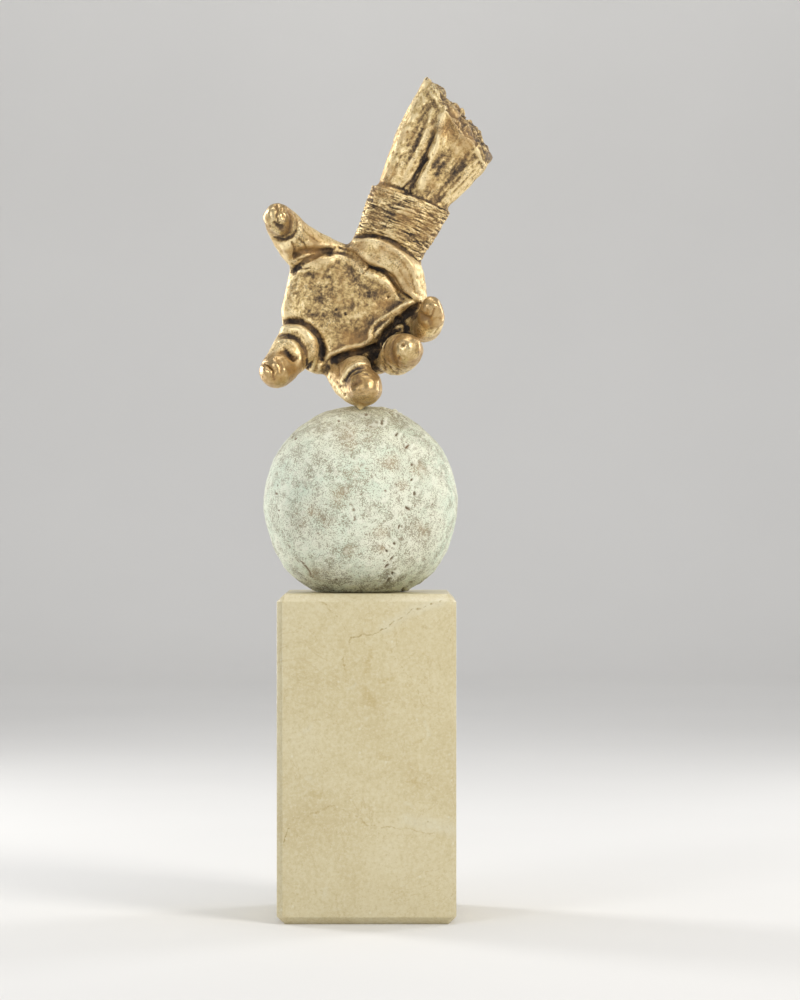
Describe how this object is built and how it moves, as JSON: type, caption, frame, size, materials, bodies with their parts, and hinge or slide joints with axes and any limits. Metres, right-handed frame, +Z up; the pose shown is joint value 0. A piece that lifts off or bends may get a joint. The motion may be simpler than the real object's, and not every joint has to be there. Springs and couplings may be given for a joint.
{
  "type": "hand and ball trophy",
  "caption": "Cast bronze hand with a wrapped wrist and torn forearm, balanced on one fingertip on a patinated stitched ball, on a chamfered marble block.",
  "frame": {"origin": "centre of the marble block's underside, which stands on the shelf", "axes": "+Z up, +X to the viewer's right and +Y away from the viewer, so the open palm faces -Y"},
  "size_m": [0.1083, 0.0884, 0.3833],
  "materials": {
    "bronze": "cast bronze, rubbed gold on the raised places, dark brown in the folds",
    "green_patina": "bronze under a matt pale green patina with brown specks",
    "marble": "honed cream marble with thin brown veins, polished on top"
  },
  "bodies": {
    "root": {"hand": "bronze", "ball": "green_patina", "marble_block": "marble"}
  },
  "joints": []
}
